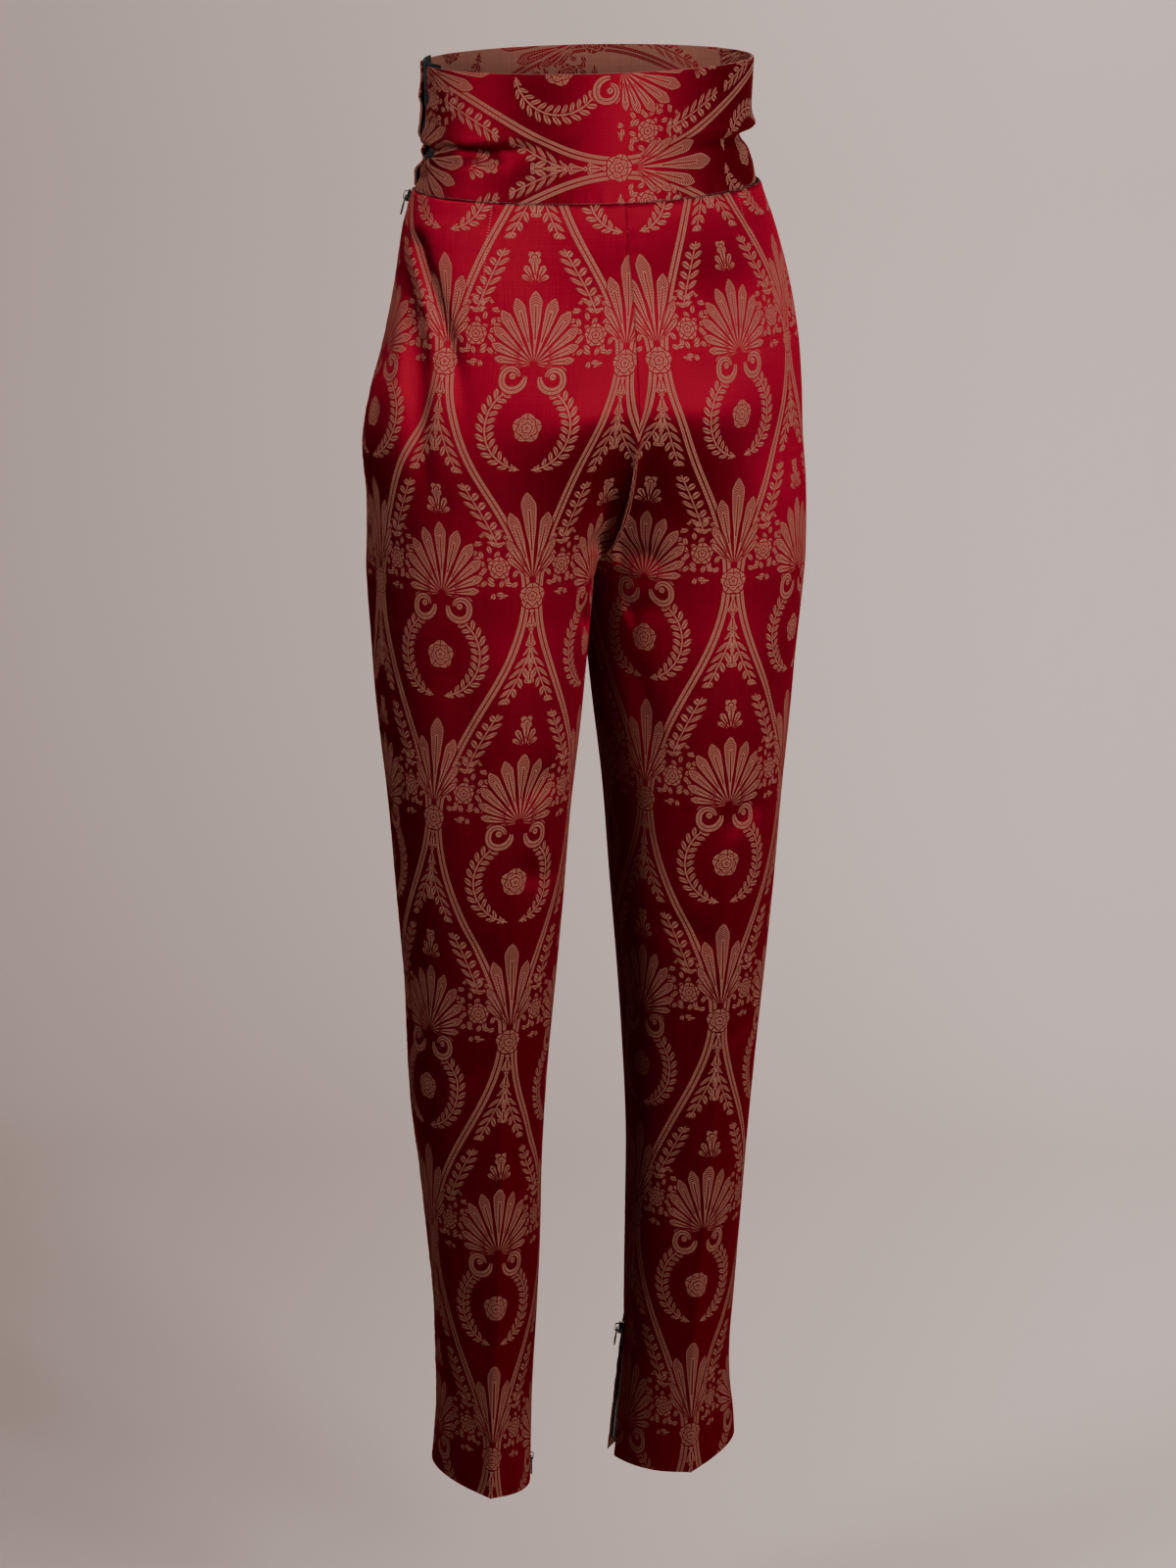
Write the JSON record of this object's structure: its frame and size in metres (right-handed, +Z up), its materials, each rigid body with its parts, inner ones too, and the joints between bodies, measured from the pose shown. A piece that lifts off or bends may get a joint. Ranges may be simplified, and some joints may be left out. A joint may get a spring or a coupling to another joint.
{
  "type": "jacquard trousers",
  "caption": "High-waisted, tapered jacquard trousers in their worn shape, hollow, with pressed creases, a side zip and ankle zips.",
  "frame": {"origin": "centre of the natural waist, inside the waistband, where the wearer's body holds the trousers", "axes": "+Z up, the wearer faces -Y, the wearer's left is +X"},
  "size_m": [0.3468, 0.2373, 1.1306],
  "materials": {
    "jacquard": "satin red ground with a matte taupe-rose woven figure",
    "waistband_jacquard": "the same cloth turned a quarter",
    "black_tape": "matte woven tape",
    "zip_metal": "blackened metal, worn to grey on its edges"
  },
  "bodies": {
    "garment": {"back_left": "jacquard", "back_right": "jacquard", "front_left": "jacquard", "front_right": "jacquard", "waistband_back": "waistband_jacquard", "waistband_front": "waistband_jacquard", "closure_underlap": "black_tape", "side_zip_tape_back": "black_tape", "side_zip_tape_front": "black_tape", "side_zip_chain": "zip_metal", "side_zip_slider": "zip_metal", "left_ankle_tape_back": "black_tape", "left_ankle_tape_front": "black_tape", "left_ankle_chain": "zip_metal", "left_ankle_slider": "zip_metal", "right_ankle_tape_back": "black_tape", "right_ankle_tape_front": "black_tape", "right_ankle_slider": "zip_metal"},
    "side_pull": {"side_zip_pull": "zip_metal"},
    "left_ankle_tab": {"left_ankle_pull": "zip_metal"},
    "right_ankle_tab": {"right_ankle_pull": "zip_metal"}
  },
  "joints": [
    {"name": "side_pull_turn", "type": "hinge", "parent": "garment", "child": "side_pull", "pos_m": [0.12892, -0.03107, -0.0364], "axis": [-0.4409, -0.8953, -0.0634], "range_deg": [0, 150]},
    {"name": "left_ankle_tab_turn", "type": "hinge", "parent": "garment", "child": "left_ankle_tab", "pos_m": [0.037, -0.01848, -1.04845], "axis": [0.0639, 0.9973, -0.0352], "range_deg": [0, 160]},
    {"name": "right_ankle_tab_turn", "type": "hinge", "parent": "garment", "child": "right_ankle_tab", "pos_m": [-0.03775, -0.023, -0.95062], "axis": [-0.3113, -0.95, 0.0227], "range_deg": [0, 160]}
  ]
}
